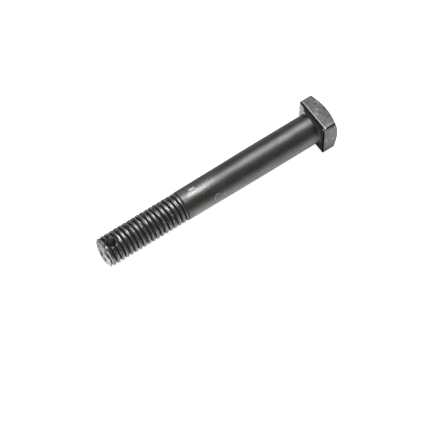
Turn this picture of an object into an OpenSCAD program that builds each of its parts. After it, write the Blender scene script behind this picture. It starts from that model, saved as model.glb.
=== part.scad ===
// Square head bolt with a drilled threaded end, lying at rest on a flat of its head and its tip.
// The origin is the centre of the bearing face, and the shank runs along +X.

/* [Head] */
// Width of the square head across its flats
head_w = 15.1; // [13:0.1:22]
// Height of the head, from the bearing face to the flat top
head_h = 6.4; // [4.5:0.1:11]
// Diameter of the round flat on top of the head
head_top_d = 14.2; // [9:0.1:16]
// Slope of the cone that chamfers the four corners of the top, in degrees
head_cone_angle = 21; // [8:1:32]
// Radius of the rounded edges around the bearing face
bearing_edge_r = 0.2; // [0.1:0.05:1.5]
// Radius of the four edges between the flats
corner_edge_r = 0.3; // [0.1:0.05:1.5]

/* [Shank] */
// Length of the bolt under its head, from the bearing face to the tip
bolt_l = 88.9; // [75:0.1:150]
// Diameter of the plain shank
shank_d = 11.6; // [11.2:0.1:12.6]
// Length of the shank at its full diameter, from the bearing face
shank_l = 24; // [5:0.5:38]
// Diameter that the shank tapers to where the thread begins
neck_d = 11.1; // [10.6:0.05:12]
// Radius of the fillet between the shank and the bearing face
fillet_r = 0.8; // [0.3:0.1:1.4]

/* [Thread] */
// Diameter over the crests of the thread
thread_d = 11; // [10:0.05:11.6]
// Distance from one crest to the next
thread_pitch = 1.814; // [1.4:0.001:2.2]
// Depth of the thread, from its crests to its roots
thread_depth = 1; // [0.6:0.05:1.2]
// Width of the flat on each crest
crest_w = 0.85; // [0.3:0.05:1]
// Width of the flat at each root
root_w = 0.12; // [0.06:0.01:0.3]
// Length of the threaded end, from the tip to the end of the shank
thread_l = 32.9; // [20:0.1:45]
// Length of the cone at the end of the shank, in which the thread runs out
runout_l = 1.2; // [0.6:0.1:4]
// Angle around the bolt at which the crests start, in degrees
thread_start = 60; // [0:5:355]

/* [Tip] */
// Width and height of the chamfer at the tip
tip_chamfer = 0.7; // [0.3:0.1:1.5]

/* [Cross hole] */
// Diameter of the hole through the threaded end
cross_hole_d = 3.6; // [2:0.1:4.2]
// Distance from the tip to the middle of the cross hole
cross_hole_to_tip = 3.7; // [3:0.1:12]
// Diameter of each countersunk mouth of the cross hole
mouth_d = 5.4; // [4.4:0.1:5.6]

/* [Hidden] */
$fn = 96;
// facets around the small roundings of the head's edges
edge_fn = 40;
steel = [0.24, 0.24, 0.25];
head_cone_slope = tan(head_cone_angle);
head_corner_r = head_w / sqrt(2);
head_corner_h = head_h - (head_corner_r - head_top_d / 2) * head_cone_slope;
crest_r = thread_d / 2;
root_r = crest_r - thread_depth;
neck_z = bolt_l - thread_l;
// rise of the run-out cone along the bolt for each millimetre that it narrows
cone_rise = runout_l / (neck_d / 2 - root_r);
// how far the run-out cone goes on below the roots
cone_sink = 0.5;
flank_w = (thread_pitch - crest_w - root_w) / 2;
// straight steps in one turn of the thread
turn_steps = 36;
// corners of one turn's section, as height along the bolt and radius
turn_section = [
    [0, crest_r],
    [crest_w, crest_r],
    [crest_w + flank_w, root_r],
    [thread_pitch - flank_w, root_r]
];
cross_hole_z = bolt_l - cross_hole_to_tip;
mouth_depth = (mouth_d - cross_hole_d) / 2;
// how far a cutting or trimming solid reaches past what it cuts
spare = 2;
// the head's lower edge and the crests at the tip touch one level surface
rest_tilt = atan((head_w / 2 - crest_r) / (bolt_l - tip_chamfer + bearing_edge_r));

// a square with the corners at its lower side rounded to low_r and no others
module low_rounded_square(w, h, low_r) {
    translate([-w / 2, low_r]) square([w, h - low_r]);
    translate([-w / 2 + low_r, 0]) square([w - 2 * low_r, low_r]);
    for (side = [-1, 1])
        translate([side * (w / 2 - low_r), low_r]) circle(r = low_r, $fn = edge_fn);
}

// a square with all four corners rounded
module rounded_square(w, r) {
    square([w, w - 2 * r], center = true);
    square([w - 2 * r, w], center = true);
    for (x = [-1, 1], y = [-1, 1])
        translate([x * (w / 2 - r), y * (w / 2 - r)]) circle(r = r, $fn = edge_fn);
}

// the head's side view, as wide as the head all along it
module head_side() {
    rotate([90, 0, 0])
        linear_extrude(height = head_w + 2 * spare, center = true)
            low_rounded_square(head_w, head_h, bearing_edge_r);
}

// the cone over the top of the head, standing on the bearing face
module head_cone() {
    rotate_extrude()
        polygon([
            [0, -spare],
            [head_corner_r, -spare],
            [head_corner_r, head_corner_h],
            [head_top_d / 2, head_h],
            [0, head_h]
        ]);
}

// the head hangs below the bearing face, so that the shank points up
module head() {
    mirror([0, 0, 1])
        intersection() {
            linear_extrude(height = head_h) rounded_square(head_w, corner_edge_r);
            head_side();
            rotate([0, 0, 90]) head_side();
            head_cone();
        }
}

// the shank with its taper and the cone in which the thread runs out, which ends below the roots
module shank() {
    rotate_extrude()
        polygon([
            [0, -head_h / 2],
            [shank_d / 2, -head_h / 2],
            [shank_d / 2, shank_l],
            [neck_d / 2, neck_z],
            [root_r - cone_sink, neck_z + runout_l + cone_sink * cone_rise],
            [0, neck_z + runout_l + cone_sink * cone_rise]
        ]);
}

// the fillet around the foot of the shank
module fillet() {
    rotate_extrude()
        difference() {
            translate([shank_d / 2 - fillet_r, -fillet_r]) square([2 * fillet_r, 2 * fillet_r]);
            translate([shank_d / 2 + fillet_r, fillet_r]) circle(r = fillet_r);
        }
}

// a right-hand thread as one solid, from base_z up over the given number of turns
module thread_rod(base_z, turns) {
    rows = len(turn_section);
    height = rows * turns;
    // one column of points for each step, and each column starts a little higher than the last
    points = [
        for (step = [0 : turn_steps - 1], row = [0 : height])
            let (
                corner = turn_section[row % rows],
                angle = 360 * step / turn_steps,
                z = base_z + thread_pitch * (floor(row / rows) + step / turn_steps) + corner[0]
            )
            [corner[1] * cos(angle), corner[1] * sin(angle), z]
    ];
    column = height + 1;
    foot = len(points);
    crown = foot + 1;
    ends = [[0, 0, base_z], [0, 0, base_z + thread_pitch * (turns + 1)]];
    last = turn_steps - 1;
    sides = [
        for (step = [0 : last - 1], row = [0 : height - 1])
            let (a = step * column + row, b = a + column)
            each [[a, a + 1, b + 1], [a, b + 1, b]]
    ];
    // the last column meets the first one a whole turn higher
    seam = [
        for (row = [0 : height - rows - 1])
            let (a = last * column + row, b = row + rows)
            each [[a, a + 1, b + 1], [a, b + 1, b]]
    ];
    foot_loop = concat(
        [for (row = [rows : -1 : 0]) row],
        [for (step = [1 : last]) step * column]
    );
    crown_loop = concat(
        [for (step = [0 : last]) step * column + height],
        [for (row = [height - 1 : -1 : height - rows]) last * column + row]
    );
    caps = concat(
        [for (i = [0 : len(foot_loop) - 1]) [foot, foot_loop[i], foot_loop[(i + 1) % len(foot_loop)]]],
        [for (i = [0 : len(crown_loop) - 1]) [crown, crown_loop[(i + 1) % len(crown_loop)], crown_loop[i]]]
    );
    polyhedron(points = concat(points, ends), faces = concat(sides, seam, caps));
}

// all that the threaded end keeps: from the end of the shank up to the chamfered tip
module thread_limit() {
    rotate_extrude()
        polygon([
            [0, neck_z],
            [crest_r + spare, neck_z],
            [crest_r + spare, bolt_l - tip_chamfer - spare],
            [crest_r - tip_chamfer, bolt_l],
            [0, bolt_l]
        ]);
}

module threaded_end() {
    turns = ceil((thread_l + spare) / thread_pitch) + 1;
    intersection() {
        rotate([0, 0, thread_start]) thread_rod(neck_z - 2 * thread_pitch, turns + 1);
        thread_limit();
    }
}

// the hole across the threaded end, with a countersunk mouth at both ends
module cross_hole() {
    translate([0, 0, cross_hole_z])
        rotate([0, 90, 0]) {
            cylinder(d = cross_hole_d, h = thread_d + 2 * spare, center = true);
            for (side = [0, 180])
                rotate([side, 0, 0])
                    translate([0, 0, crest_r - mouth_depth])
                        cylinder(r1 = cross_hole_d / 2, r2 = mouth_d / 2 + spare, h = mouth_depth + spare);
        }
}

module square_head_bolt() {
    color(steel)
        rotate([0, 90 + rest_tilt, 0])
            difference() {
                union() {
                    head();
                    shank();
                    fillet();
                    threaded_end();
                }
                cross_hole();
            }
}

square_head_bolt();
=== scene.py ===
# Square head bolt in black oxide steel, lying on a pale studio floor
import math

import bpy
from mathutils import Matrix, Vector


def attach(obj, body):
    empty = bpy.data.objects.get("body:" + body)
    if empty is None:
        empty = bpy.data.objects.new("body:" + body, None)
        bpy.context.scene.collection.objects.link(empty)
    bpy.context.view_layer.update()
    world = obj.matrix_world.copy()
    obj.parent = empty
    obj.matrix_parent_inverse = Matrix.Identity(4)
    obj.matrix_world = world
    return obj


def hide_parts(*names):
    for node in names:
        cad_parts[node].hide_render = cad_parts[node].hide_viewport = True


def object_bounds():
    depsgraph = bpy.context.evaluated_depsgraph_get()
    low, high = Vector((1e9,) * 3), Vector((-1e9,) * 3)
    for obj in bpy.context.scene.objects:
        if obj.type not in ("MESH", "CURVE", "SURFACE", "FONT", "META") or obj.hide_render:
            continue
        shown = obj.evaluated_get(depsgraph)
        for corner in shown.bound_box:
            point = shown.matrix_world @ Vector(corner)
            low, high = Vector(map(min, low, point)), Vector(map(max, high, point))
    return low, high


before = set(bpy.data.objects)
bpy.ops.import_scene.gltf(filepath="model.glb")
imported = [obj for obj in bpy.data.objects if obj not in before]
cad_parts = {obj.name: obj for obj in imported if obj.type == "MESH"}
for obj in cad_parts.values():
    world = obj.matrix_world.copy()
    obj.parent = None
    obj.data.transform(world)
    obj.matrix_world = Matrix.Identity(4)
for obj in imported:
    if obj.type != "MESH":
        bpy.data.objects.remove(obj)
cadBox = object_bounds()
print("frame loaded")

# sizes are in millimetres, places along the bolt are from its bearing face
mm = 0.001
boltLength = 88.9
spare = 2  # how far a cutting tool reaches past what it cuts
touching = 0.01  # points closer than this to a surface lie on it
hair = 0.001  # a length too small to count


def deselectAll():
    if bpy.context.object and bpy.context.object.mode != "OBJECT":
        bpy.ops.object.mode_set(mode="OBJECT")
    bpy.ops.object.select_all(action="DESELECT")


def makeActive(piece):
    deselectAll()
    piece.select_set(True)
    bpy.context.view_layer.objects.active = piece


def applyModifier(piece, kind, **settings):
    makeActive(piece)
    modifier = piece.modifiers.new(kind.lower(), kind)
    for name, value in settings.items():
        setattr(modifier, name, value)
    bpy.ops.object.modifier_apply(modifier=modifier.name)


def combine(piece, tool, operation):
    applyModifier(piece, "BOOLEAN", object=tool, operation=operation, solver="EXACT")
    bpy.data.objects.remove(tool)


def applyPlace():
    bpy.ops.object.transform_apply(location=True, rotation=True, scale=True)


def turnedRod(name, stations, sides):
    # a disc across the X axis, drawn out from station to station
    deselectAll()
    x, radius = stations[0]
    bpy.ops.mesh.primitive_circle_add(
        vertices=sides, radius=radius * mm, fill_type="NGON",
        location=(x * mm, 0, 0), rotation=(0, math.pi / 2, 0),
    )
    rod = bpy.context.object
    rod.name = name
    applyPlace()
    bpy.ops.object.mode_set(mode="EDIT")
    bpy.ops.mesh.select_all(action="SELECT")
    for nextX, nextRadius in stations[1:]:
        bpy.ops.mesh.extrude_region_move(
            TRANSFORM_OT_translate={"value": ((nextX - x) * mm, 0, 0)}
        )
        grow = nextRadius / radius
        bpy.ops.transform.resize(value=(1, grow, grow), center_override=(nextX * mm, 0, 0))
        x, radius = nextX, nextRadius
    bpy.ops.mesh.select_all(action="SELECT")
    bpy.ops.mesh.normals_make_consistent(inside=False)
    bpy.ops.object.mode_set(mode="OBJECT")
    return rod


def arc(centre, radius, fromAngle, toAngle, parts):
    points = []
    for i in range(parts + 1):
        a = math.radians(fromAngle + (toAngle - fromAngle) * i / parts)
        points.append((centre[0] + radius * math.cos(a), centre[1] + radius * math.sin(a)))
    return points


def selectEdges(piece, test):
    # picks edges by the places of their ends, in millimetres
    bpy.ops.object.mode_set(mode="EDIT")
    bpy.ops.mesh.select_mode(type="EDGE")
    bpy.ops.mesh.select_all(action="DESELECT")
    bpy.ops.object.mode_set(mode="OBJECT")
    points = [v.co / mm for v in piece.data.vertices]
    for edge in piece.data.edges:
        edge.select = test(points[edge.vertices[0]], points[edge.vertices[1]])
    bpy.ops.object.mode_set(mode="EDIT")


def bevelSelected(width, steps):
    bpy.ops.mesh.bevel(offset=width * mm, segments=steps, affect="EDGES")
    bpy.ops.object.mode_set(mode="OBJECT")


head = {
    "width": 15.1,
    "height": 6.4,
    "topDiameter": 14.2,
    "coneAngle": 21,
    "coneSides": 160,
    "coneStart": 1,  # where the cone's tool begins, past the bearing face
    "bearingEdge": 0.2,
    "cornerEdge": 0.3,
    "edgeSteps": 4,
    "coneEdge": 0.15,
    "coneEdgeSteps": 2,
    # planes worn on the top flat and on its near corner: a place on each, and the way it faces
    "fallPlace": (-0.8, 0),
    "fallFacing": (0.21, 0, 0.98),
    "wornPlace": (-1, 6.85),
    "wornFacing": (0.069, 0.92, 0.39),
    # the ridge between them: where it runs, and how it is rounded
    "ridgeAcross": (6.7, 7.3),
    "ridgeDepth": 0.2,
    "ridgeLength": 1,
    "ridgeEdge": 0.22,
    "ridgeSteps": 3,
}


def shave(piece, point, normal):
    # takes off all that lies beyond a plane, given in millimetres
    deselectAll()
    outward = Vector(normal).normalized()
    side = 20
    bpy.ops.mesh.primitive_cube_add(
        size=side * mm, location=(Vector(point) + outward * side / 2) * mm,
        rotation=outward.to_track_quat("Z", "Y").to_euler(),
    )
    tool = bpy.context.object
    applyPlace()
    combine(piece, tool, "DIFFERENCE")


def forgeHead():
    width, height = head["width"], head["height"]
    deselectAll()
    bpy.ops.mesh.primitive_cube_add(
        size=1, location=(-height / 2 * mm, 0, 0), scale=(height * mm, width * mm, width * mm)
    )
    block = bpy.context.object
    block.name = "headBlock"
    applyPlace()
    # the rim of the bearing face first, then the four upright edges with the mitres they run into
    selectEdges(block, lambda a, b: min(a.x, b.x) > -touching)
    bevelSelected(head["bearingEdge"], head["edgeSteps"])

    def onDiagonal(p):
        return abs(abs(p.y) - abs(p.z)) < hair

    selectEdges(block, lambda a, b: onDiagonal(a) and onDiagonal(b) and abs(a.x - b.x) > hair)
    bevelSelected(head["cornerEdge"], head["edgeSteps"])

    outer = width / math.sqrt(2) + spare
    slope = math.tan(math.radians(head["coneAngle"]))
    topRadius = head["topDiameter"] / 2
    coneFoot = height - (outer - topRadius) * slope
    cone = turnedRod("headCone", [
        (head["coneStart"], outer), (-coneFoot, outer), (-height, topRadius),
    ], head["coneSides"])
    combine(block, cone, "INTERSECT")

    def onCone(p):
        radius = math.hypot(p.y, p.z)
        offCone = abs(-p.x - (height - (radius - topRadius) * slope))
        return offCone < touching and radius > topRadius + 2 * touching

    def onSide(p):
        return max(abs(p.y), abs(p.z)) > width / 2 - touching

    selectEdges(block, lambda a, b: onCone(a) and onCone(b) and onSide(a) and onSide(b))
    bevelSelected(head["coneEdge"], head["coneEdgeSteps"])

    # the top flat falls off towards the bearing face, and its near corner is worn down
    top = width / 2
    shave(block, (*head["fallPlace"], top), head["fallFacing"])
    shave(block, (*head["wornPlace"], top), head["wornFacing"])
    low, high = head["ridgeAcross"]

    def onRidge(p):
        return low < p.y < high and p.z > top - head["ridgeDepth"]

    selectEdges(
        block, lambda a, b: onRidge(a) and onRidge(b) and abs(a.x - b.x) > head["ridgeLength"]
    )
    bevelSelected(head["ridgeEdge"], head["ridgeSteps"])
    return block


thread = {
    "diameter": 11.0,
    "pitch": 1.814,
    "depth": 1.0,
    "crestWidth": 0.85,
    "rootWidth": 0.12,
    "length": 32.9,
    "runOut": 1.2,
    "start": 60,  # degrees around the bolt
    "crestRound": 0.07,
    "crestSteps": 4,
    "rootRound": 0.06,
    "rootSteps": 3,
    "turnSteps": 96,
    "turnsBefore": 2,  # turns that the helix has below the end of the shank
    "turnsMore": 5,
    "keptBefore": 1.5,
    "tipChamfer": 0.7,
    "tipRim": 0.12,
    "tipBack": 0.07,
    "tipSkew": (2.6, 1.5),  # degrees around Y and Z
}
neckPlace = boltLength - thread["length"]
crestRadius = thread["diameter"] / 2
rootRadius = crestRadius - thread["depth"]


def threadSection():
    # one pitch from root to root, as distance along the bolt and radius
    half = thread["pitch"] / 2
    crestHalf, rootHalf = thread["crestWidth"] / 2, thread["rootWidth"] / 2
    turn = math.degrees(math.atan2(thread["depth"], half - crestHalf - rootHalf))
    points = [(0.0, rootRadius)]
    low, high = thread["rootRound"], thread["crestRound"]
    reach = math.tan(math.radians(turn / 2))
    # the rounding between the root and the flank, and between the flank and the crest
    lowCentre = (rootHalf - low * reach, rootRadius + low)
    highCentre = (half - crestHalf + high * reach, crestRadius - high)
    points += arc(lowCentre, low, 270, 270 + turn, thread["rootSteps"])
    points += arc(highCentre, high, 90 + turn, 90, thread["crestSteps"])
    points += [(half, crestRadius)]
    points += [(thread["pitch"] - x, r) for x, r in reversed(points[:-1])]
    return points


def cutThread():
    section = threadSection()
    pitch = thread["pitch"]
    turns = math.ceil(thread["length"] / pitch) + thread["turnsMore"]
    before = neckPlace - thread["turnsBefore"] * pitch
    # the middle of a crest passes the underside of the bolt at this place
    below = before - thread["start"] / 360 * pitch + thread["crestWidth"] / 2
    startX = below - pitch / 2
    deselectAll()
    bpy.ops.mesh.primitive_plane_add(size=mm, location=(startX * mm, 0, -section[0][1] * mm))
    ribbon = bpy.context.object
    ribbon.name = "threadRod"
    applyPlace()
    bpy.ops.object.mode_set(mode="EDIT")
    bpy.ops.mesh.select_mode(type="VERT")
    bpy.ops.mesh.select_all(action="SELECT")
    bpy.ops.mesh.merge(type="CENTER")
    x, radius = section[0]
    for nextX, nextRadius in section[1:]:
        bpy.ops.mesh.extrude_region_move(
            TRANSFORM_OT_translate={"value": ((nextX - x) * mm, 0, (radius - nextRadius) * mm)}
        )
        x, radius = nextX, nextRadius
    bpy.ops.object.mode_set(mode="OBJECT")
    steps = thread["turnSteps"]
    applyModifier(
        ribbon, "SCREW", axis="X", angle=math.tau, screw_offset=pitch * mm, iterations=turns,
        steps=steps, render_steps=steps, use_merge_vertices=False,
    )
    bpy.ops.object.mode_set(mode="EDIT")
    bpy.ops.mesh.select_all(action="SELECT")
    bpy.ops.mesh.remove_doubles(threshold=hair * mm)
    bpy.ops.mesh.fill_holes(sides=0)
    bpy.ops.mesh.select_all(action="SELECT")
    bpy.ops.mesh.normals_make_consistent(inside=False)
    bpy.ops.object.mode_set(mode="OBJECT")
    return ribbon


shank = {
    "diameter": 11.6,
    "straight": 24,
    "straightParts": 4,
    "neckDiameter": 11.1,
    "neckEdge": (0.1, 0.02),  # length and depth of the small edge where the thread begins
    "fillet": 0.8,
    "filletSteps": 6,
    "filletSunk": 0.02,
    "inHead": 3,
    "runOutSunk": 0.5,  # how far the run-out cone goes on below the roots
    "sides": 128,
}


def turnShank():
    radius, neck = shank["diameter"] / 2, shank["neckDiameter"] / 2
    foot, sunk = shank["fillet"], shank["runOutSunk"]
    rise = thread["runOut"] / (neck - rootRadius)
    parts = shank["straightParts"]
    edgeLength, edgeDepth = shank["neckEdge"]
    # the fillet meets the bearing face between two of its stations
    stations = [(-shank["inHead"], radius + foot), (-shank["filletSunk"], radius + foot)]
    stations += arc((foot, radius + foot), foot, 180, 270, shank["filletSteps"])[1:]
    stations += [(shank["straight"] * k / parts, radius) for k in range(1, parts + 1)]
    stations += [
        (neckPlace, neck),
        (neckPlace + edgeLength, neck - edgeDepth),
        (neckPlace + (neck - rootRadius + sunk) * rise, rootRadius - sunk),
    ]
    return turnedRod("shankRod", stations, shank["sides"])


def limitThread(ribbon):
    chamfer, rim = thread["tipChamfer"], thread["tipRim"]
    end = boltLength - thread["tipBack"]
    keep = turnedRod("threadLimit", [
        (neckPlace - thread["keptBefore"], crestRadius + spare),
        (boltLength - chamfer - spare, crestRadius + spare),
        (end - rim, crestRadius - chamfer + rim),
        (end, crestRadius - chamfer - rim),
    ], shank["sides"])
    # the end was sheared a little askew, with the rim around it
    lastRings = end - 1.5 * rim
    selectEdges(keep, lambda a, b: min(a.x, b.x) > lastRings)
    for axis, angle in zip("YZ", thread["tipSkew"]):
        bpy.ops.transform.rotate(
            value=math.radians(angle), orient_axis=axis, center_override=(end * mm, 0, 0)
        )
    bpy.ops.object.mode_set(mode="OBJECT")
    combine(ribbon, keep, "INTERSECT")


relief = {
    "place": 56.5,
    "radius": 0.26,
    "lift": 0.03,
    "around": 91,  # an odd count, so that its points miss those of the thread
    "across": 12,
}


def cutRelief(bolt):
    # the narrow groove between the shank and the first turn of the thread
    deselectAll()
    bpy.ops.mesh.primitive_torus_add(
        major_segments=relief["around"], minor_segments=relief["across"],
        location=(relief["place"] * mm, 0, 0), rotation=(0, math.pi / 2, 0),
        major_radius=(crestRadius + relief["lift"]) * mm,
        minor_radius=relief["radius"] * mm,
    )
    ring = bpy.context.object
    applyPlace()
    combine(bolt, ring, "DIFFERENCE")


crossHole = {
    "diameter": 3.6,
    "toTip": 3.7,
    "mouth": 5.4,
    "sides": 64,
}


def drillCrossHole(bolt):
    x = boltLength - crossHole["toTip"]
    radius, mouth = crossHole["diameter"] / 2, crossHole["mouth"] / 2
    depth = mouth - radius
    # drawn along X, then stood upright in the threaded end
    drill = turnedRod("drill", [
        (-crestRadius - spare, mouth + spare),
        (-crestRadius + depth, radius),
        (crestRadius - depth, radius),
        (crestRadius + spare, mouth + spare),
    ], crossHole["sides"])
    drill.rotation_euler = (0, -math.pi / 2, 0)
    drill.location = (x * mm, 0, 0)
    applyPlace()
    combine(bolt, drill, "DIFFERENCE")


# along the bolt, degrees around it, radius of the ball that struck it, depth
dents = (
    (61.98, 34.0, 0.8, 0.3),
    (65.55, 39.0, 0.8, 0.3),
    (68.75, 44.0, 0.8, 0.3),
    (72.5, 51.5, 0.8, 0.3),
    (76.2, 35.0, 0.8, 0.3),
    (86.93, 40.0, 0.7, 0.3),
)
# hollows in the end: place across it, half length, half width, degrees that they lie turned
endHollows = (
    (-1.19, -1.84, 0.95, 1.15, -27),
    (1.35, -2.2, 0.85, 1.2, -27),
)
hollowOutside = 0.1  # their middles lie this far beyond the end
hollowHalf = 0.4  # half their size along the bolt
ballSteps = 3


def dent(piece):
    # the knocks on the thread are round, and the hollows in the end long
    balls = []
    for x, angle, radius, depth in dents:
        a = math.radians(angle)
        out = crestRadius - depth + radius
        balls.append(((x, out * math.sin(a), out * math.cos(a)), (radius, radius, radius), 0))
    for y, z, length, width, turn in endHollows:
        balls.append(((boltLength + hollowOutside, y, z), (hollowHalf, length, width), turn))
    tool = None
    for place, size, turn in balls:
        deselectAll()
        bpy.ops.mesh.primitive_ico_sphere_add(
            subdivisions=ballSteps, radius=mm, location=Vector(place) * mm,
            rotation=(math.radians(turn), 0, 0), scale=size,
        )
        ball = bpy.context.object
        if tool is None:
            tool = ball
        else:
            ball.select_set(True)
            tool.select_set(True)
            bpy.context.view_layer.objects.active = tool
            bpy.ops.object.join()
    makeActive(tool)
    applyPlace()
    combine(piece, tool, "DIFFERENCE")


# at rest the lower edge of the head and the crests at the tip touch the floor
restTilt = math.atan(
    (head["width"] / 2 - crestRadius) / (boltLength - thread["tipChamfer"] + head["bearingEdge"])
)
smoothAngle = 32


def makeBolt():
    bolt = turnShank()
    bolt.name = "squareHeadBolt"
    ribbon = cutThread()
    limitThread(ribbon)
    combine(bolt, ribbon, "UNION")
    print("shank and thread turned")
    combine(bolt, forgeHead(), "UNION")
    print("head forged")
    cutRelief(bolt)
    drillCrossHole(bolt)
    dent(bolt)
    print("bolt drilled and worn")
    makeActive(bolt)
    bolt.rotation_euler = (0, restTilt, 0)
    applyPlace()
    bpy.ops.object.shade_smooth_by_angle(angle=math.radians(smoothAngle))
    return bolt


def startMaterial(name):
    material = bpy.data.materials.new(name)
    material.use_nodes = True
    material.node_tree.nodes.clear()
    return material, material.node_tree


def addNode(tree, kind, inputs=None, **settings):
    node = tree.nodes.new(kind)
    for name, value in settings.items():
        setattr(node, name, value)
    for socket, value in (inputs or {}).items():
        if isinstance(value, bpy.types.NodeSocket):
            tree.links.new(value, node.inputs[socket])
        else:
            node.inputs[socket].default_value = value
    return node


def calc(tree, operation, a, b=0.0, c=0.0):
    return addNode(tree, "ShaderNodeMath", {0: a, 1: b, 2: c}, operation=operation).outputs[0]


def vectorCalc(tree, operation, a, b=(0.0, 0.0, 0.0)):
    return addNode(tree, "ShaderNodeVectorMath", {0: a, 1: b}, operation=operation).outputs


def larger(tree, *values):
    result = values[0]
    for value in values[1:]:
        result = calc(tree, "MAXIMUM", result, value)
    return result


def product(tree, *factors):
    result = factors[0]
    for factor in factors[1:]:
        result = calc(tree, "MULTIPLY", result, factor)
    return result


def fade(tree, value, low, high, toLow=0.0, toHigh=1.0):
    # a soft step from toLow to toHigh while the value goes from low to high
    inputs = {"Value": value, "From Min": low, "From Max": high, "To Min": toLow, "To Max": toHigh}
    return addNode(tree, "ShaderNodeMapRange", inputs, interpolation_type="SMOOTHSTEP").outputs[0]


def band(tree, value, low, high, soft):
    # 1 between low and high, fading to 0 over the soft distance outside them
    return product(
        tree, fade(tree, value, low - soft, low), fade(tree, value, high, high + soft, 1.0, 0.0)
    )


def blend(tree, share, a, b):
    # colour or number a where the share is 0, and b where it is 1
    if isinstance(a, tuple) or isinstance(b, tuple):
        node = addNode(tree, "ShaderNodeMix", {"Factor": share}, data_type="RGBA")
        for socket, value in ((6, a), (7, b)):
            if isinstance(value, bpy.types.NodeSocket):
                tree.links.new(value, node.inputs[socket])
            else:
                node.inputs[socket].default_value = (*value, 1)
        return node.outputs[2]
    node = addNode(tree, "ShaderNodeMix", {"Factor": share, 2: a, 3: b}, data_type="FLOAT")
    return node.outputs[0]


def noise(tree, vector, scale, detail, roughness=0.5):
    inputs = {"Vector": vector, "Scale": scale, "Detail": detail, "Roughness": roughness}
    return addNode(tree, "ShaderNodeTexNoise", inputs).outputs[0]


def stretched(tree, x, y, z=0.0):
    return addNode(tree, "ShaderNodeCombineXYZ", {0: x, 1: y, 2: z}).outputs[0]


def scaled(tree, tint, level):
    return addNode(tree, "ShaderNodeVectorMath", {0: tint, 3: level}, operation="SCALE").outputs[0]


def boltPlaces(tree):
    # millimetres along and across the bolt's own axis, the distance from that axis,
    # and the angle around it in degrees from the top towards +Y
    seat = addNode(tree, "ShaderNodeTexCoord").outputs["Object"]
    turned = addNode(tree, "ShaderNodeMapping", {
        "Vector": seat, "Rotation": (0, -restTilt, 0), "Scale": (1 / mm, 1 / mm, 1 / mm),
    }).outputs[0]
    parts = addNode(tree, "ShaderNodeSeparateXYZ", {0: turned}).outputs
    radius = calc(tree, "SQRT", calc(
        tree, "ADD", calc(tree, "MULTIPLY", parts[1], parts[1]),
        calc(tree, "MULTIPLY", parts[2], parts[2]),
    ))
    angle = calc(tree, "MULTIPLY", calc(tree, "ARCTAN2", parts[1], parts[2]), math.degrees(1))
    return {
        "vector": turned, "x": parts[0], "y": parts[1], "z": parts[2],
        "radius": radius, "angle": angle,
    }


def spots(tree, at, places, soft):
    # 1 inside balls given by their centre and radius, fading over the soft distance
    result = 0.0
    for x, y, z, radius in places:
        away = vectorCalc(tree, "DISTANCE", at["vector"], (x, y, z))["Value"]
        inside = fade(tree, away, radius, radius + soft, 1.0, 0.0)
        result = larger(tree, inside, result)
    return result


view = {
    "place": (0.211554, 0.246755, 0.507108),
    "target": (0.046511, 0.006701, -0.007461),
    "lens": 139.88,
    "sensor": 36,
    "clip": (0.01, 50),
}


def placeCamera():
    eye = Vector(view["place"])
    look = Vector(view["target"]) - eye
    bpy.ops.object.camera_add(location=eye)
    camera = bpy.context.object
    camera.name = "camera"
    camera.rotation_euler = look.to_track_quat("-Z", "Y").to_euler()
    camera.data.lens = view["lens"]
    camera.data.sensor_width = view["sensor"]
    camera.data.clip_start, camera.data.clip_end = view["clip"]
    bpy.context.scene.camera = camera


light = {
    "direction": (-0.303, -0.25, 0.92),
    "distance": 1.2,
    "size": 0.62,
    "radiance": 8.6,
    "roomLevel": 0.34,
}


def lightTheRoom():
    direction = Vector(light["direction"]).normalized()
    size = light["size"]
    place = Vector(view["target"]) + direction * light["distance"]
    bpy.ops.object.light_add(type="AREA", location=place)
    lamp = bpy.context.object
    lamp.name = "softbox"
    lamp.rotation_euler = direction.to_track_quat("Z", "Y").to_euler()
    lamp.data.shape = "SQUARE"
    lamp.data.size = size
    # an area lamp's radiance is its power over pi times its area
    lamp.data.energy = light["radiance"] * math.pi * size * size
    world = bpy.data.worlds.new("room")
    bpy.context.scene.world = world
    world.use_nodes = True
    level = light["roomLevel"]
    world.node_tree.nodes["Background"].inputs["Color"].default_value = (level, level, level, 1)


ground = {
    "radius": 5.0,
    "sides": 96,
    "colour": 0.85,
    "colourMirrored": 0.72,
    "glowSeen": 0.88,
    "glowMirrored": 1.3,
    "glowLean": 0.1,
    "glowAcross": (0.002, 0.014),  # metres across the bolt over which the glow grows
}


def layFloor():
    deselectAll()
    bpy.ops.mesh.primitive_circle_add(
        vertices=ground["sides"], radius=ground["radius"], fill_type="NGON",
        location=(0, 0, cadBox[0][2]),
    )
    floor = bpy.context.object
    floor.name = "floor"
    material, tree = startMaterial("paleFloor")
    seen = addNode(tree, "ShaderNodeLightPath").outputs
    mirrored = larger(tree, seen["Is Glossy Ray"], seen["Is Transmission Ray"])
    # the pale background, as the steel mirrors it, is brighter on the bolt's near side
    seat = addNode(tree, "ShaderNodeTexCoord").outputs["Object"]
    parts = addNode(tree, "ShaderNodeSeparateXYZ", {0: seat}).outputs
    across = calc(tree, "MULTIPLY_ADD", parts[0], ground["glowLean"], parts[1])
    ahead = fade(tree, across, *ground["glowAcross"])
    level = calc(
        tree, "MULTIPLY_ADD", seen["Is Camera Ray"], ground["glowSeen"],
        product(tree, mirrored, ahead, ground["glowMirrored"]),
    )
    glow = addNode(tree, "ShaderNodeEmission", {"Strength": level})
    pale, dim = ground["colour"], ground["colourMirrored"]
    colour = blend(tree, mirrored, (pale, pale, pale), (dim, dim, dim))
    diffuse = addNode(tree, "ShaderNodeBsdfDiffuse", {"Color": colour})
    both = addNode(tree, "ShaderNodeAddShader", {0: diffuse.outputs[0], 1: glow.outputs[0]})
    addNode(tree, "ShaderNodeOutputMaterial", {"Surface": both.outputs[0]})
    floor.data.materials.append(material)


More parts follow.
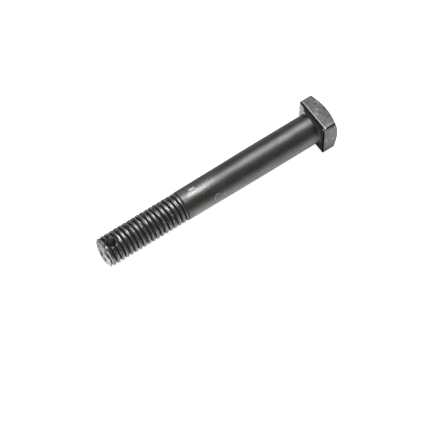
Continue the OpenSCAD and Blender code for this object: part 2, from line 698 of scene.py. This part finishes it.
# how bright each kind of steel and dirt mirrors, and the levels of the painted light and shade
brightness = {
    "oxide": 0.08,
    "rubbed": 1.05,  # the gain of the oxide there, and so for the next two
    "streak": 0.85,
    "spot": 7.0,
    "scratch": 0.4,
    "crest": 0.05,
    "line": 0.29,
    "scuff": 0.35,
    "crestBareGlint": 0.34,
    "rootDirtAndLight": 0.1,
    "besideCrest": 0.04,
    "forged": 0.105,
    "edge": 0.21,
    "dingGlint": 0.8,
    "bearing": 0.65,
    "headShade": 0.035,
    "cornerShade": 0.012,
    "end": 0.6,
    "endDirt": 0.035,
    "mouth": 0.15,
    "rim": 0.34,
    "farRim": 0.1,
    "bore": 0.56,
    "boreSides": 0.1,
}
coatRough = 0.35


def finishSteel(tree, finish, colour, rough, coat, matteShare, height=None):
    # the share of dull surface is 1 where it hides the metal: dirt on the thread and the end, painted
    # shade on the head, and in the bore a dull wall with painted light
    inputs = {
        "Base Color": colour, "Metallic": calc(tree, "SUBTRACT", 1.0, matteShare), "Roughness": rough,
        "Coat Weight": coat, "Coat Roughness": coatRough, "Specular IOR Level": finish["specular"],
    }
    if height is not None:
        bump = {"Height": height, "Distance": finish["bump"] * mm}
        inputs["Normal"] = addNode(tree, "ShaderNodeBump", bump).outputs[0]
    surface = addNode(tree, "ShaderNodeBsdfPrincipled", inputs)
    addNode(tree, "ShaderNodeOutputMaterial", {"Surface": surface.outputs[0]})


# In the finishes below a soft step is given by where it begins and ends and, after that, its
# values there. A soft band is given by where it begins and ends and by its softness. Noise has
# its scale, detail and roughness. A pair of depths is where a soft step begins and ends below
# the crests or the flats. Angles are degrees around the bolt from the top towards +Y.
shankFinish = {
    "cloudStretch": (0.16, 0.4, 0.4),
    "cloudNoise": (1.0, 3.0),
    "clouds": (0.3, 0.7, 0.84, 1.16),
    "grainNoise": (2.2, 3.0, 0.7),
    "grain": (0.3, 0.7, 0.85, 1.15),
    "streakStretch": (0.35, 0.2),
    "streakNoise": (1.0, 3.0),
    "streakFuzz": 10.0,
    "grainFuzz": (6.0, -8.0),  # what the grain is multiplied by, and what is added
    "rubbedAlong": (37, 47),
    "rubbedAround": (-25, 20, 9),
    "rubbedPastLine": (53.8, 54.0, 1.0, 1.35),
    "rubbedGrain": (0.35, 0.65, 0.75, 1.25),
    "streakAlong": (44, 50),
    "streakAround": (-2, 14, 4),
    "streakEnd": (53.8, 54.0, 1.0, 0.0),
    "spotSoft": 0.35,
    "lowAlong": (42, 50),
    "lowAround": (70, 88),
    "lowGain": 0.4,
    "footAlong": (0.4, 3.6, 0.5, 0.0),
    "footNear": (18, 32),
    "footFar": (-24, -12, 1.0, 0.0),
    "shadeStripAround": (47, 62, 14),
    "shadeStripShare": 0.22,
    "scratchSoft": 0.12,
    "stainAlong": (45, 54, 4),
    "stainAround": (26, 60, 14),
    "clean": (0.985, 1.0, 1.0),
    "olive": (1.0, 0.96, 0.8),
    "rough": 0.45,
    "bareRough": 0.36,
    "dirtRough": 0.7,
    "coat": 0.35,
    "cloudHeight": 0.3,
    "grainHeight": 0.1,
    "specular": 0.2,
    "bump": 0.035,
}
# places of marks, each with its radius
bareSpots = (
    (51.8, -1.2, 5.45, 0.34),
    (51.25, -1.12, 5.48, 0.34),
    (50.3, -1.12, 5.49, 0.3),
)
shankScratches = (
    (45.5, 5.3, 1.87, 0.07),
    (45.2, 5.1, 2.35, 0.09),
    (44.85, 4.88, 2.79, 0.09),
    (44.5, 4.68, 3.12, 0.1),
    (44.05, 4.73, 3.04, 0.08),
    (43.6, 4.77, 2.97, 0.08),
    (43.1, 4.82, 2.89, 0.08),
    (41.4, 5.36, 1.67, 0.12),
    (48.47, 2.6, 4.98, 0.1),
    (10.0, 5.78, 0.5, 0.12),
)


def paintShankWearAndLight(tree, at, cloud, grain):
    # how bright the shank mirrors, where it is bare, and where painted shade and a painted reflection
    # lie on it
    finish = shankFinish
    x, angle = at["x"], at["angle"]
    clouds = fade(tree, cloud, *finish["clouds"])
    level = product(tree, clouds, fade(tree, grain, *finish["grain"]), brightness["oxide"])

    # the rubbed place above the thread ends at an upright line, with bright streaks in it
    along, around = finish["streakStretch"]
    drawn = stretched(tree, calc(tree, "MULTIPLY", x, along), calc(tree, "MULTIPLY", angle, around))
    streaks = noise(tree, drawn, *finish["streakNoise"])
    fuzzy = calc(
        tree, "MULTIPLY_ADD", streaks, finish["streakFuzz"],
        calc(tree, "MULTIPLY_ADD", grain, *finish["grainFuzz"]),
    )
    place = calc(tree, "ADD", angle, fuzzy)
    rubbed = product(
        tree, fade(tree, x, *finish["rubbedPastLine"]), fade(tree, x, *finish["rubbedAlong"]),
        band(tree, place, *finish["rubbedAround"]),
    )
    ends = fade(tree, x, *finish["streakEnd"])
    streak = product(
        tree, ends, fade(tree, x, *finish["streakAlong"]), band(tree, place, *finish["streakAround"])
    )
    spot = spots(tree, at, bareSpots, finish["spotSoft"])
    brighter = calc(
        tree, "MULTIPLY_ADD", spot, brightness["spot"], calc(tree, "MULTIPLY", streak, brightness["streak"])
    )
    brighter = calc(tree, "MULTIPLY_ADD", rubbed, brightness["rubbed"], brighter)
    brighter = calc(tree, "MULTIPLY", brighter, fade(tree, grain, *finish["rubbedGrain"]))
    # a painted reflection: the lower near side mirrors brighter just before the thread
    paintedLowerSheen = product(
        tree, ends, fade(tree, x, *finish["lowAlong"]), fade(tree, angle, *finish["lowAround"]),
        finish["lowGain"],
    )
    gain = calc(tree, "ADD", brighter, calc(tree, "ADD", paintedLowerSheen, 1.0))

    # painted shade: darker at the foot of the shank away from the highlight, and in a strip along its
    # near side
    sideways = larger(
        tree, fade(tree, angle, *finish["footNear"]), fade(tree, angle, *finish["footFar"])
    )
    foot = calc(tree, "MULTIPLY", fade(tree, x, *finish["footAlong"]), sideways)
    strip = band(tree, angle, *finish["shadeStripAround"])
    stripShade = calc(tree, "MULTIPLY_ADD", strip, -finish["shadeStripShare"], 1.0)
    level = product(tree, level, gain, stripShade, calc(tree, "SUBTRACT", 1.0, foot))
    scratched = spots(tree, at, shankScratches, finish["scratchSoft"])
    return blend(tree, scratched, level, brightness["scratch"]), larger(tree, streak, spot)


threadFinish = {
    "drift": (0.6, 0.16, 0.16),
    "driftNoise": (1.0, 1.0),
    "lineTurns": 18.0,  # how fast the lines follow each other across a pitch
    "lineWander": 16.0,
    "bareLines": (0.35, 0.9),
    "speckNoise": (1.3, 3.0, 0.6),
    "specks": (0.36, 0.5, 0.7, 1.0),
    "crestDepths": (0.7, 0.25),
    "litFarSide": (-10, 10, 1.26, 0.88),
    "shadedNearSide": (12, 30, 1.0, 0.88),
    "below": (44, 62, 1.0),
    "shadeBelowTip": (80, 84, 0.76, 1.0),
    "fleckNoise": (2.4, 3.0, 0.7),
    "flecks": (0.58, 0.68),
    "scuffAround": (36, 82, 14),
    "scuffClean": 0.7,
    "spotSoft": 0.3,
    "startSoft": (0.1, 0.5),
    "dirtShare": 0.8,
    "reliefHalf": 0.15,
    "reliefSoft": 0.14,
    "reliefDirt": 0.95,
    "dirtDepths": (0.9, 0.5),
    "shadeAround": (-30, -8, 0.2, 1.0),
    "lineHeight": 0.35,
}
# bare spots on the crests beside the cross hole, painted bright as highlights
crestBareGlints = (
    (88.0, -1.6, 5.26, 0.7),
    (87.5, -0.6, 5.4, 0.5),
    (87.96, 1.2, 5.37, 0.35),
    (85.9, 2.22, 5.03, 0.35),
    (84.4, 2.12, 5.07, 0.35),
    (83.5, 1.33, 5.34, 0.35),
    (82.5, 1.6, 5.26, 0.3),
)


def lineTheCrests(tree, at):
    # fine lines that wander along the crests
    finish = threadFinish
    pitch = thread["pitch"]
    # place across one pitch of the thread, 0 and 1 at the grooves
    crestTop = neckPlace - thread["start"] / 360 * pitch + thread["crestWidth"] / 2
    turns = calc(tree, "MULTIPLY_ADD", at["x"], 1 / pitch, -crestTop / pitch)
    phase = calc(tree, "FRACT", calc(tree, "MULTIPLY_ADD", at["angle"], 1 / 360, turns))
    drift = vectorCalc(tree, "MULTIPLY", at["vector"], finish["drift"])[0]
    wander = calc(tree, "MULTIPLY", noise(tree, drift, *finish["driftNoise"]), finish["lineWander"])
    wave = calc(tree, "SINE", calc(tree, "MULTIPLY_ADD", phase, finish["lineTurns"], wander))
    return calc(tree, "MULTIPLY_ADD", wave, 0.5, 0.5)


def paintThreadWearAndLight(tree, at, lines):
    # how bright the crests mirror, where they are bare, where the dirt lies and how dark it is, and the
    # painted light and shade on them
    finish = threadFinish
    x, angle, radius = at["x"], at["angle"], at["radius"]

    # crests with fine bare lines and dark specks
    deep, shallow = finish["crestDepths"]
    crestShare = fade(tree, radius, crestRadius - deep, crestRadius - shallow)
    bareLines = fade(tree, lines, *finish["bareLines"])
    specks = fade(tree, noise(tree, at["vector"], *finish["speckNoise"]), *finish["specks"])
    level = product(tree, blend(tree, bareLines, brightness["crest"], brightness["line"]), specks)
    # painted light makes them brighter on the far side, and painted shade darker on the near side and
    # further below, except near the tip
    below = fade(tree, angle, *finish["below"], fade(tree, x, *finish["shadeBelowTip"]))
    level = product(
        tree, level, fade(tree, angle, *finish["litFarSide"]), fade(tree, angle, *finish["shadedNearSide"]), below
    )
    # scuffs low on the near side
    flecks = fade(tree, noise(tree, at["vector"], *finish["fleckNoise"]), *finish["flecks"])
    scuffed = product(tree, flecks, band(tree, angle, *finish["scuffAround"]))
    level = blend(tree, scuffed, level, brightness["scuff"])
    # the bare spots beside the cross hole, painted as highlights
    level = blend(tree, spots(tree, at, crestBareGlints, finish["spotSoft"]), level, brightness["crestBareGlint"])

    # dull dirt in the grooves and in the relief groove; it is darker beside the crests, lighter at the
    # root as painted light against the shade there, and darker on the far side as painted shade
    begins, full = finish["startSoft"]
    inThread = fade(tree, x, neckPlace + begins, neckPlace + full)
    clean = larger(tree, crestShare, calc(tree, "MULTIPLY", scuffed, finish["scuffClean"]))
    matteShare = product(tree, inThread, calc(tree, "SUBTRACT", 1.0, clean), finish["dirtShare"])
    half = finish["reliefHalf"]
    inRelief = band(tree, x, relief["place"] - half, relief["place"] + half, finish["reliefSoft"])
    matteShare = larger(tree, matteShare, calc(tree, "MULTIPLY", inRelief, finish["reliefDirt"]))
    deep, shallow = finish["dirtDepths"]
    dirtAndRootLight = fade(
        tree, radius, crestRadius - deep, crestRadius - shallow,
        brightness["rootDirtAndLight"], brightness["besideCrest"],
    )
    dirtLightAndShade = calc(tree, "MULTIPLY", dirtAndRootLight, fade(tree, angle, *finish["shadeAround"]))
    return {
        "level": level, "share": inThread, "matteShare": matteShare, "dirtLightAndShade": dirtLightAndShade,
        "bare": product(tree, inThread, crestShare, bareLines),
    }


def turnedSteel():
    # the shank and the threaded end
    finish = shankFinish
    material, tree = startMaterial("turnedSteel")
    at = boltPlaces(tree)
    drawn = vectorCalc(tree, "MULTIPLY", at["vector"], finish["cloudStretch"])[0]
    cloud = noise(tree, drawn, *finish["cloudNoise"])
    grain = noise(tree, at["vector"], *finish["grainNoise"])
    shankLevel, shankBare = paintShankWearAndLight(tree, at, cloud, grain)
    lines = lineTheCrests(tree, at)
    threadWearAndLight = paintThreadWearAndLight(tree, at, lines)
    level = blend(tree, threadWearAndLight["share"], shankLevel, threadWearAndLight["level"])
    level = blend(tree, threadWearAndLight["matteShare"], level, threadWearAndLight["dirtLightAndShade"])

    # an olive stain in the grooves and around the rubbed place
    around = product(
        tree, band(tree, at["x"], *finish["stainAlong"]), band(tree, at["angle"], *finish["stainAround"])
    )
    stain = larger(tree, threadWearAndLight["matteShare"], around)
    colour = scaled(tree, blend(tree, stain, finish["clean"], finish["olive"]), level)
    bare = larger(tree, shankBare, threadWearAndLight["bare"])
    rough = blend(tree, bare, finish["rough"], finish["bareRough"])
    rough = blend(tree, threadWearAndLight["matteShare"], rough, finish["dirtRough"])
    coat = blend(tree, threadWearAndLight["matteShare"], finish["coat"], 0.0)
    waves = calc(
        tree, "MULTIPLY_ADD", cloud, finish["cloudHeight"],
        calc(tree, "MULTIPLY", grain, finish["grainHeight"]),
    )
    lineShare = calc(tree, "MULTIPLY", threadWearAndLight["share"], threadFinish["lineHeight"])
    height = calc(tree, "MULTIPLY_ADD", lines, lineShare, waves)
    finishSteel(tree, finish, colour, rough, coat, threadWearAndLight["matteShare"], height)
    return material


endFinish = {
    "mottleNoise": (1.1, 3.0),
    "tornNoise": (3.0, 2.0),
    "torn": (0.35, 0.65, 0.7, 1.1),
    "matteShare": (0.5, 0.62, 0.0, 0.6),
    "hollowDeep": 10,
    "hollowDirt": (0.8, 1.05, 1.0, 0.0),
    "stainSoft": 1.1,
    "stainShare": 0.85,
    "toNear": (0.43, 0.9),  # shares of the way across and of the way up
    "mottleShift": 3.0,
    "near": (0.4, 2.2, 0.85, 1.0),
    "tint": (1.0, 0.995, 0.985),
    "rough": 0.45,
    "dirtRough": 0.8,
    "coat": 0.6,
    "specular": 0.2,
    "bump": 0.05,
}
endStains = (
    (88.9, 2.9, 2.7, 0.7),
    (88.9, 1.6, 3.6, 0.3),
)


def shearedSteel():
    # the bright end face, with dirt in its hollows
    finish = endFinish
    material, tree = startMaterial("shearedSteel")
    at = boltPlaces(tree)
    mottle = noise(tree, at["vector"], *finish["mottleNoise"])
    torn = noise(tree, at["vector"], *finish["tornNoise"])
    matteShare = fade(tree, mottle, *finish["matteShare"])
    for y, z, length, width, turn in endHollows:
        seat = addNode(tree, "ShaderNodeMapping", {
            "Vector": at["vector"], "Location": (boltLength, y, z),
            "Rotation": (math.radians(turn), 0, 0), "Scale": (finish["hollowDeep"], length, width),
        }, vector_type="TEXTURE").outputs[0]
        away = vectorCalc(tree, "LENGTH", seat)["Value"]
        matteShare = larger(tree, matteShare, fade(tree, away, *finish["hollowDirt"]))
    stained = calc(
        tree, "MULTIPLY", spots(tree, at, endStains, finish["stainSoft"]), finish["stainShare"]
    )
    matteShare = larger(tree, matteShare, stained)
    # the far side of the end is duller than the near one
    across, up = finish["toNear"]
    toNear = calc(tree, "MULTIPLY_ADD", at["y"], across, calc(tree, "MULTIPLY", at["z"], up))
    toNear = calc(tree, "MULTIPLY_ADD", mottle, finish["mottleShift"], toNear)
    near = fade(tree, toNear, *finish["near"])
    level = product(tree, fade(tree, torn, *finish["torn"]), near, brightness["end"])
    level = blend(tree, matteShare, level, brightness["endDirt"])
    rough = blend(tree, matteShare, finish["rough"], finish["dirtRough"])
    coat = calc(tree, "SUBTRACT", finish["coat"], matteShare)
    height = calc(tree, "ADD", mottle, torn)
    finishSteel(tree, finish, scaled(tree, finish["tint"], level), rough, coat, matteShare, height)
    return material


headFinish = {
    "patchNoise": (0.8, 4.0, 0.62),
    "patches": (0.34, 0.66, 0.72, 1.32),
    "pitNoise": (2.6, 3.0, 0.6),
    "pitHeight": 0.6,
    "spotSoft": 0.6,
    "spotGain": 0.5,
    "facing": (-0.15, -0.03),
    "nearFrom": (-42, -32),
    "nearTo": (160, 178, 1.0, 0.0),
    "ringScale": 3.0,
    "ringNoise": (1.0, 1.0),
    "rings": (0.4, 0.6, 0.6, 1.4),
    "faceShade": 0.9,
    "topDepths": (0.5, 0.3),
    "ragged": (0.35, -0.17),  # what the pits are multiplied by, and what is added
    "rubbedStrip": (-1.1, -0.85, 0.12),
    "shoulder": (6.1, 6.6, 0.3),
    "shoulderShare": 0.4,
    "darkStrip": (-0.68, 0.1, 0.12),
    "darkStripAcross": (-7.3, -5.8, 0.45, 0.95),
    "cornerLine": (7.0, 7.25, 0.12),
    "cornerDepths": (0.6, 0.45),
    "nearEdge": (-0.25, 0.1, 0.1),
    "nearEdgeAcross": (6.9, 7.1),
    "footSoft": 0.25,
    "dingSoft": 0.12,
    "cornerRadii": (6.3, 6.8),
    "tint": (1.0, 1.0, 0.99),
    "rough": (0.58, 0.5),  # on the forged flats and on the bearing face, and so for the coat
    "rubbedRough": 0.45,
    "coat": (0.2, 0.6),
    "specular": 0.0,
    "bump": 0.12,
}
headSpots = (
    (-4.93, -4.29, 7.55, 0.4),
    (-5.01, -3.25, 7.55, 0.4),
    (-3.17, -1.6, 7.55, 0.5),
    (-2.13, 0.12, 7.55, 0.4),
    (-1.27, 7.55, -0.87, 0.4),
    (-1.0, 7.55, 0.6, 0.35),
    (-4.0, 7.55, -1.5, 0.6),
)
# places of a painted shadow at the foot of the shank, each with its radius
footShadowSpots = (
    (0.0, -4.41, 5.54, 0.35),
    (0.0, -3.9, 5.3, 0.3),
)
# dings on the corners, bare metal painted bright as glints, each with its radius
cornerDingGlints = (
    (0.1, -5.3, 4.08, 0.25),
    (-0.05, 6.95, 7.4, 0.18),
    (-0.96, 6.75, 7.5, 0.2),
)


def forgedSteel():
    # the head, with scale on its flats, rubbed edges, and painted light and shade on its bearing face
    # and edges
    finish = headFinish
    material, tree = startMaterial("forgedSteel")
    at = boltPlaces(tree)
    x, y, z, angle = at["x"], at["y"], at["z"], at["angle"]
    patches = noise(tree, at["vector"], *finish["patchNoise"])
    pits = noise(tree, at["vector"], *finish["pitNoise"])
    level = calc(tree, "MULTIPLY", fade(tree, patches, *finish["patches"]), brightness["forged"])
    lightSpots = spots(tree, at, headSpots, finish["spotSoft"])
    level = calc(
        tree, "MULTIPLY", level, calc(tree, "MULTIPLY_ADD", lightSpots, finish["spotGain"], 1.0)
    )

    # the bearing face is bright, a painted reflection of the pale floor, and on the near side dark with
    # painted shade
    facing = fade(tree, x, *finish["facing"])
    shadedNearSide = product(
        tree, fade(tree, angle, *finish["nearFrom"]), fade(tree, angle, *finish["nearTo"])
    )
    ringed = stretched(tree, calc(tree, "MULTIPLY", at["radius"], finish["ringScale"]), 0.0)
    rings = fade(tree, noise(tree, ringed, *finish["ringNoise"]), *finish["rings"])
    level = blend(tree, facing, level, calc(tree, "MULTIPLY", rings, brightness["bearing"]))
    faceShade = product(tree, facing, shadedNearSide, finish["faceShade"])

    # along the edges of the top flat a rubbed strip of worn metal, and beside it a dark strip of painted
    # shade
    top = head["width"] / 2
    deep, shallow = finish["topDepths"]
    onTop = fade(tree, z, top - deep, top - shallow)
    ragged = calc(tree, "MULTIPLY_ADD", pits, *finish["ragged"])
    fromEdge = calc(tree, "ADD", x, ragged)
    strip = band(tree, fromEdge, *finish["rubbedStrip"])
    shoulder = band(tree, calc(tree, "ADD", y, ragged), *finish["shoulder"])
    shoulder = calc(tree, "MULTIPLY", shoulder, finish["shoulderShare"])
    rubbed = product(tree, onTop, larger(tree, strip, shoulder))
    edgeShade = product(
        tree, onTop, band(tree, fromEdge, *finish["darkStrip"]),
        fade(tree, y, *finish["darkStripAcross"]),
    )
    # painted shade: dark lines along the near corner and beside the near flat
    deep, shallow = finish["cornerDepths"]
    cornerLine = product(
        tree, band(tree, y, *finish["cornerLine"]), fade(tree, z, top - deep, top - shallow)
    )
    nearEdge = product(
        tree, band(tree, x, *finish["nearEdge"]), fade(tree, y, *finish["nearEdgeAcross"])
    )
    # painted shadow: dark spots on the bearing face at the foot of the shank
    footShadow = spots(tree, at, footShadowSpots, finish["footSoft"])
    # all these dark marks of the head are painted shade, made dull and not metal
    matteShare = larger(tree, faceShade, edgeShade, footShadow, cornerLine, nearEdge)
    # the dings are bare metal painted bright as glints, and clear of the painted shade
    dingGlints = spots(tree, at, cornerDingGlints, finish["dingSoft"])
    matteShare = calc(tree, "MULTIPLY", matteShare, calc(tree, "SUBTRACT", 1.0, dingGlints))

    burnished = larger(tree, rubbed, dingGlints)
    level = blend(tree, burnished, level, blend(tree, dingGlints, brightness["edge"], brightness["dingGlint"]))
    outside = fade(tree, at["radius"], *finish["cornerRadii"])
    level = blend(tree, matteShare, level, blend(tree, outside, brightness["headShade"], brightness["cornerShade"]))
    rough = blend(tree, burnished, blend(tree, facing, *finish["rough"]), finish["rubbedRough"])
    coat = blend(tree, matteShare, blend(tree, facing, *finish["coat"]), 0.0)
    height = calc(tree, "MULTIPLY_ADD", pits, finish["pitHeight"], patches)
    finishSteel(tree, finish, scaled(tree, finish["tint"], level), rough, coat, matteShare, height)
    return material


boreFinish = {
    "deep": (4.3, 4.75, 1.0, 0.0),
    "lightBefore": 0.5,
    "light": (0.4, 1.2),
    "darkRing": (2.05, 2.3, 1.0, 0.45),
    "rimHighlight": (1.75, 1.98, 0.1),
    "rimAlong": (-0.7, 0.7),
    "tint": (1.0, 0.99, 0.9),
    "mouthMatte": 0.7,
    "rough": (0.5, 0.9),  # in the mouth and in the bore
    "specular": 0.2,
}


def boreWithPaintedLight():
    # the wall of the cross hole and its mouths, with painted light and shade
    finish = boreFinish
    material, tree = startMaterial("boreWithPaintedLight")
    at = boltPlaces(tree)
    deep = fade(tree, at["radius"], *finish["deep"])
    fromHole = calc(tree, "SUBTRACT", at["x"], boltLength - crossHole["toTip"])
    # painted light: the wall is lighter a little before the middle of the hole, and darker to its sides
    aside = calc(tree, "ABSOLUTE", calc(tree, "ADD", fromHole, finish["lightBefore"]))
    bore = fade(tree, aside, *finish["light"], brightness["bore"], brightness["boreSides"])
    # a painted highlight makes the edge of the bore bright on the head's side and duller on the tip's
    # side, with a dark ring around it
    away = vectorCalc(tree, "LENGTH", stretched(tree, fromHole, at["y"]))["Value"]
    mouth = product(tree, fade(tree, away, *finish["darkRing"]), brightness["mouth"])
    rim = fade(tree, fromHole, *finish["rimAlong"], brightness["rim"], brightness["farRim"])
    mouth = blend(tree, band(tree, away, *finish["rimHighlight"]), mouth, rim)
    colour = scaled(tree, finish["tint"], blend(tree, deep, mouth, bore))
    rough = blend(tree, deep, *finish["rough"])
    matteShare = blend(tree, deep, finish["mouthMatte"], 1.0)
    finishSteel(tree, finish, colour, rough, 0.0, matteShare)
    return material


# which faces each steel covers
paint = {
    "filletShare": 0.2,
    "headReach": 0.45,
    "faceThickness": 0.05,
    "faceFacing": 0.9,
    "holeMiddle": 0.1,
    "holeReach": 0.1,
    "holeFacing": -0.4,
    "endReach": 1,
    "endRadius": 4.3,
    "endFacing": 0.85,
}


def paintBolt(bolt):
    bolt.data.materials.clear()
    for material in (turnedSteel(), forgedSteel(), boreWithPaintedLight(), shearedSteel()):
        bolt.data.materials.append(material)
    turned, forged, boreSlot, sheared = range(4)
    # each face takes its steel from its place in the bolt's own frame
    untilt = Matrix.Rotation(-restTilt, 3, "Y")
    holeX = boltLength - crossHole["toTip"]
    mouthReach = crossHole["mouth"] / 2 + paint["holeReach"]
    rodRadius = shank["diameter"] / 2 + shank["fillet"] * paint["filletShare"]
    for face in bolt.data.polygons:
        place = untilt @ face.center / mm
        normal = untilt @ face.normal
        outward = math.hypot(place.y, place.z)
        onBearing = abs(place.x) < paint["faceThickness"] and normal.x > paint["faceFacing"]
        onHead = place.x < paint["headReach"] and outward > rodRadius or place.x < -touching
        fromHole = Vector((place.x - holeX, place.y))
        facesHole = False
        if paint["holeMiddle"] < fromHole.length < mouthReach:
            inward = Vector((normal.x, normal.y)).dot(fromHole.normalized())
            facesHole = inward < paint["holeFacing"]
        onEnd = outward < paint["endRadius"] or normal.x > paint["endFacing"]
        if onBearing or onHead:
            face.material_index = forged
        elif facesHole:
            face.material_index = boreSlot
        elif place.x > boltLength - paint["endReach"] and onEnd:
            face.material_index = sheared
        else:
            face.material_index = turned


placeCamera()
lightTheRoom()
layFloor()
bpy.context.scene.view_settings.view_transform = "Standard"
print("studio ready")

bolt = makeBolt()
paintBolt(bolt)
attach(bolt, "root")
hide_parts("square_head_bolt")
print("bolt modelled", len(bolt.data.polygons), "faces")
